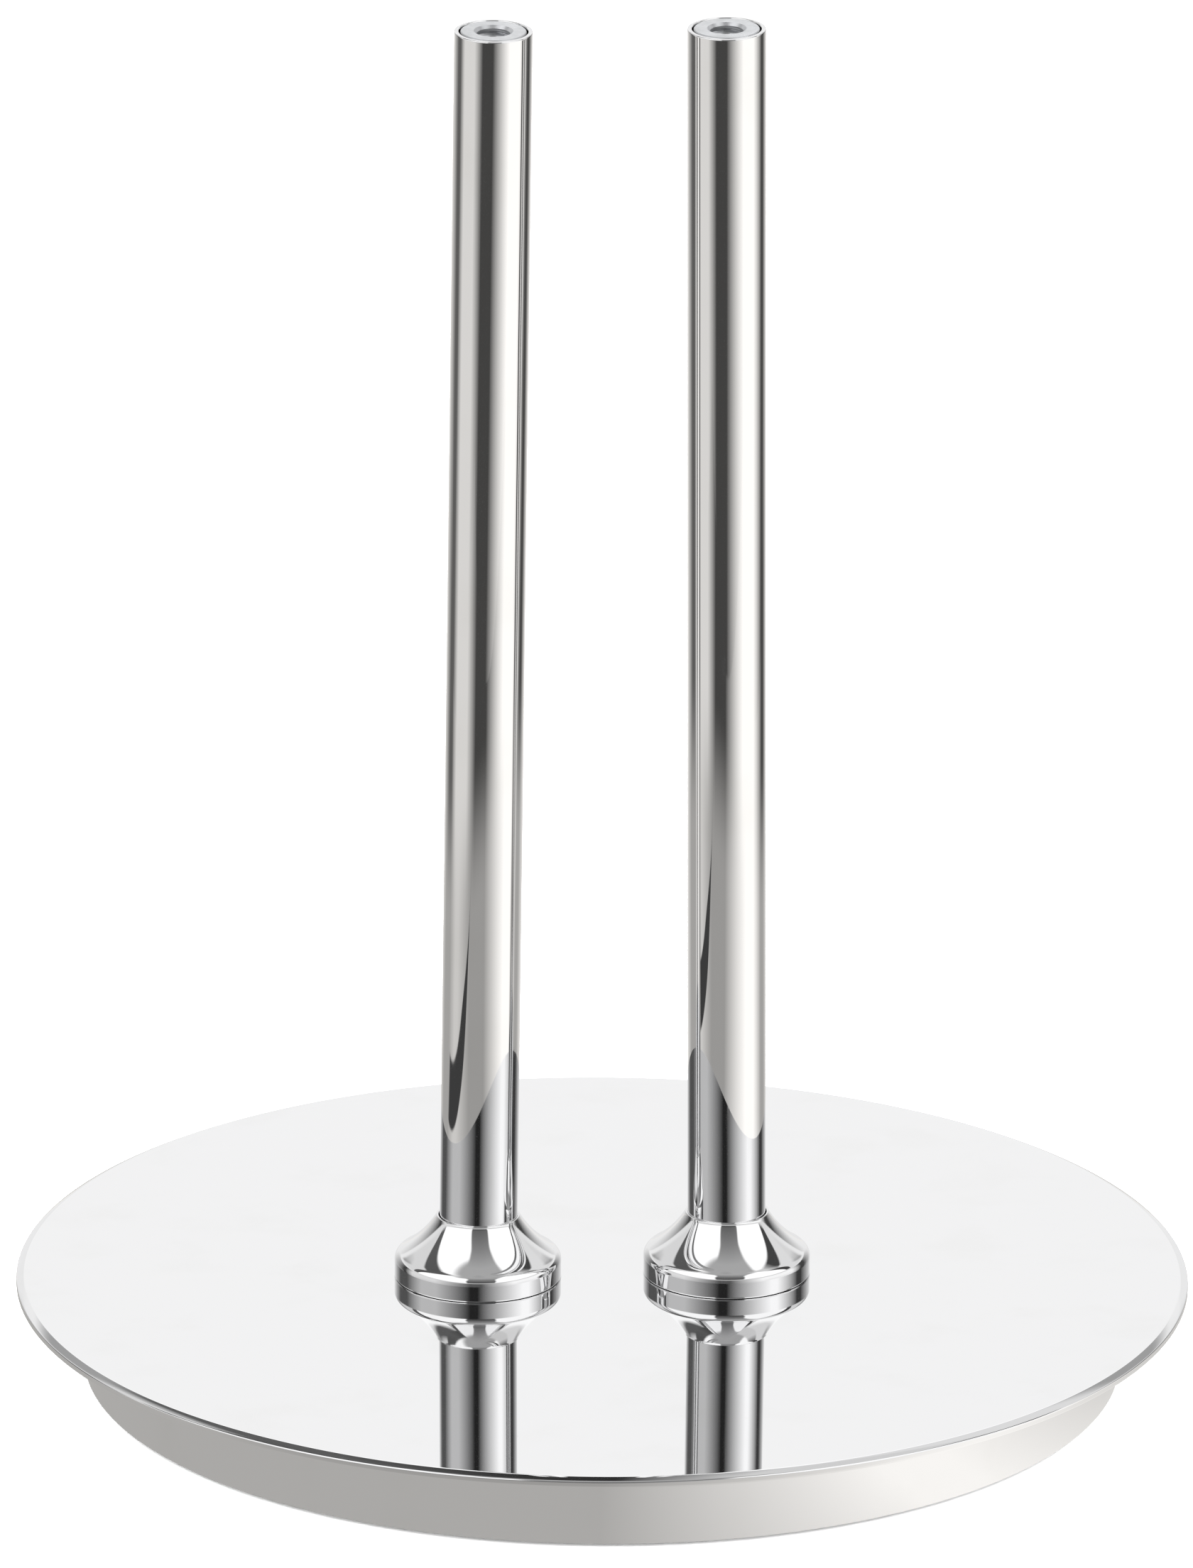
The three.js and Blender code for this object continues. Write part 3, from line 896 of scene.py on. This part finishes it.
def bearing(nodes, vector):
    """Turns a place or direction to face the camera; returns how far round it is, x, y and z."""
    inputs = {"Vector": vector, "Angle": -VIEW_AZIMUTH}
    turned = nodes.add("ShaderNodeVectorRotate", inputs, rotation_type="Z_AXIS").outputs["Vector"]
    x, y, z = nodes.add("ShaderNodeSeparateXYZ", {"Vector": turned}).outputs
    angle = nodes.math("ARCTAN2", x, nodes.math("MULTIPLY", y, -1.0))
    return nodes.math("MULTIPLY_ADD", angle, 0.5 / math.pi, 0.5), x, y, z


def overhead_room(nodes, x, y, z):
    """The grey strip, the bright panels beside it and what lies behind them."""
    from_middle = nodes.math("ABSOLUTE", nodes.math("SUBTRACT", x, STRIP_MIDDLE))
    half_strip = nodes.between(y, *STRIP_NARROWS, *STRIP_HALF_WIDTHS)
    past_strip = nodes.math("SUBTRACT", from_middle, half_strip)
    beside_strip = nodes.between(past_strip, -STRIP_BLUR, STRIP_BLUR)
    panel = nodes.math("MULTIPLY", beside_strip, nodes.between(z, *PANEL_ENDS, 1.0, 0.0))
    overhead = nodes.mix(panel, across(nodes, y, OVERHEAD_STRIP), grey(PANEL))
    backward = nodes.math("DIVIDE", y, nodes.math("MAXIMUM", z, LEAST_UPWARD))
    for starts, levels in BEHIND_PANELS:
        overhead = nodes.mix(nodes.between(backward, *starts), overhead, across(nodes, x, levels))
    return overhead


def build_world():
    """White to the eye; chrome sees the studio's light and dark panels instead."""
    world = bpy.data.worlds.new("studio")
    bpy.context.scene.world = world
    world.use_nodes = True
    nodes = Nodes(world.node_tree)
    light_path = nodes.add("ShaderNodeLightPath").outputs
    around, x, y, z = bearing(nodes, nodes.add("ShaderNodeTexCoord").outputs["Generated"])
    below = nodes.ramp(around, round_stops(FAR_BELOW, BELOW_WARMTH))
    horizon = nodes.ramp(around, round_stops(HORIZON))
    mirrored_once = nodes.ramp(around, round_stops(OPEN_WALL))
    mirrored_twice = nodes.ramp(around, round_stops(FAR_ABOVE))
    twice = nodes.between(light_path["Ray Depth"], *SECOND_MIRROR)
    above = nodes.mix(twice, mirrored_once, mirrored_twice)
    room = nodes.mix(nodes.between(z, *HORIZON_STARTS), below, horizon)
    room = nodes.mix(nodes.between(z, *ABOVE_STARTS), room, above)
    room = nodes.mix(nodes.between(z, *OVERHEAD_STARTS), room, overhead_room(nodes, x, y, z))
    seen = nodes.add("ShaderNodeBackground", {"Color": room, "Strength": 1.0})
    white = {"Color": (1, 1, 1, 1), "Strength": ROOM_BRIGHTNESS}
    plain = nodes.add("ShaderNodeBackground", white)
    shaders = {0: light_path["Is Glossy Ray"], 1: plain.outputs[0], 2: seen.outputs[0]}
    both = nodes.add("ShaderNodeMixShader", shaders)
    nodes.add("ShaderNodeOutputWorld", {"Surface": both.outputs[0]})


def floor_material():
    """White to the eye; chrome sees it glow with a table's painted light and shade, and a dark stripe
    on its left.
    """
    material, nodes = new_material("floor_white_painted_glow")
    place = nodes.add("ShaderNodeTexCoord").outputs["Object"]
    around, x, y, _ = bearing(nodes, place)
    distance = nodes.math("SQRT", nodes.math("MULTIPLY_ADD", x, x, nodes.math("MULTIPLY", y, y)))
    # Painted shade round the drum and painted light on the table beyond, which the floor emits for
    # mirror rays only.
    painted_drum_shade = nodes.ramp(around, round_stops(BESIDE_DRUM_PAINTED_SHADE, BELOW_WARMTH))
    painted_table_light = nodes.ramp(around, round_stops(TABLE_PAINTED_LIGHT, BELOW_WARMTH))
    far = nodes.ramp(around, round_stops(FAR_BELOW, BELOW_WARMTH))
    painted_glow = nodes.mix(nodes.between(distance, *BESIDE_DRUM_ENDS), painted_drum_shade, painted_table_light)
    # A dark stripe painted into the floor's glow on the table's left, widening towards the front.
    half_width = nodes.between(y, *DARK_STRIPE_WIDENS, *DARK_STRIPE_HALF_WIDTHS)
    from_stripe = nodes.math("ABSOLUTE", nodes.math("SUBTRACT", x, DARK_STRIPE_X))
    inside = nodes.math("SUBTRACT", half_width, from_stripe)
    on_stripe = nodes.between(inside, 0.0, DARK_STRIPE_BLUR)
    in_front = nodes.between(y, *DARK_STRIPE_ENDS, 1.0, 0.0)
    edge = nodes.math("MULTIPLY", on_stripe, in_front)
    painted_glow = nodes.mix(edge, painted_glow, grey(DARK_STRIPE))
    painted_glow = nodes.mix(nodes.between(distance, *TABLE_ENDS), painted_glow, far)
    # The floor is no lamp: this emission is the painted light and shade of the table and the far walls.
    seen = nodes.add("ShaderNodeEmission", {"Color": painted_glow, "Strength": 1.0})
    white = nodes.mix(nodes.noise(place, 60.0), grey(0.93), grey(0.96))
    plain = nodes.add("ShaderNodeBsdfDiffuse", {"Color": white, "Roughness": 0.9})
    glossy = nodes.add("ShaderNodeLightPath").outputs["Is Glossy Ray"]
    shaders = {0: glossy, 1: plain.outputs[0], 2: seen.outputs[0]}
    finished(nodes, nodes.add("ShaderNodeMixShader", shaders))
    material.cycles.emission_sampling = "NONE"
    return material


def build_floor():
    mesh = bmesh.new()
    corners = [
        (-FLOOR_LEFT_RIGHT, FLOOR_FRONT),
        (FLOOR_LEFT_RIGHT, FLOOR_FRONT),
        (FLOOR_LEFT_RIGHT, FLOOR_BACK),
        (-FLOOR_LEFT_RIGHT, FLOOR_BACK),
    ]
    mesh.faces.new([mesh.verts.new((x, y, 0)) for x, y in corners])
    floor = object_from("floor", mesh)
    floor.data.materials.append(floor_material())


def build_light(name, place, size, power):
    data = bpy.data.lights.new(name, "AREA")
    data.shape = "DISK"
    data.size = size
    data.energy = power
    light = bpy.data.objects.new(name, data)
    light.location = place
    light.rotation_euler = (-Vector(place)).to_track_quat("-Z", "Y").to_euler()
    light.visible_glossy = False
    bpy.context.scene.collection.objects.link(light)


def build_camera():
    back = Vector((
        math.sin(VIEW_AZIMUTH) * math.cos(VIEW_ELEVATION),
        -math.cos(VIEW_AZIMUTH) * math.cos(VIEW_ELEVATION),
        math.sin(VIEW_ELEVATION),
    ))
    data = bpy.data.cameras.new("camera")
    data.lens = VIEW_LENS
    data.clip_end = 100
    camera = bpy.data.objects.new("camera", data)
    camera.location = VIEW_AIM + back * VIEW_DISTANCE
    facing = (-back).to_track_quat("-Z", "Y").to_matrix()
    camera.rotation_euler = (facing @ Matrix.Rotation(VIEW_ROLL, 3, "Z")).to_euler()
    bpy.context.scene.collection.objects.link(camera)
    bpy.context.scene.camera = camera


# ---- Build ---------------------------------------------------------------------------------

build_camera()
build_plate()
build_drum()
build_ballast()
build_cover()
for node in SCREWS:
    build_cover_screw(node)
for node in FEET:
    build_foot(node)
for side in SIDES:
    build_collar(side)
    build_gasket(side)
    build_tube(side)
    build_lower_insert(side)
    build_upper_insert(side)
    build_stud(side)
    build_flat_washer(side)
    build_lock_washer(side)
    build_nut(side)

build_world()
build_floor()
build_light("key_light", place=(0.9, -0.7, 1.6), size=1.2, power=14)
build_light("fill_light", place=(-1.1, -0.4, 1.3), size=1.4, power=6)
bpy.context.scene.view_settings.view_transform = "Standard"
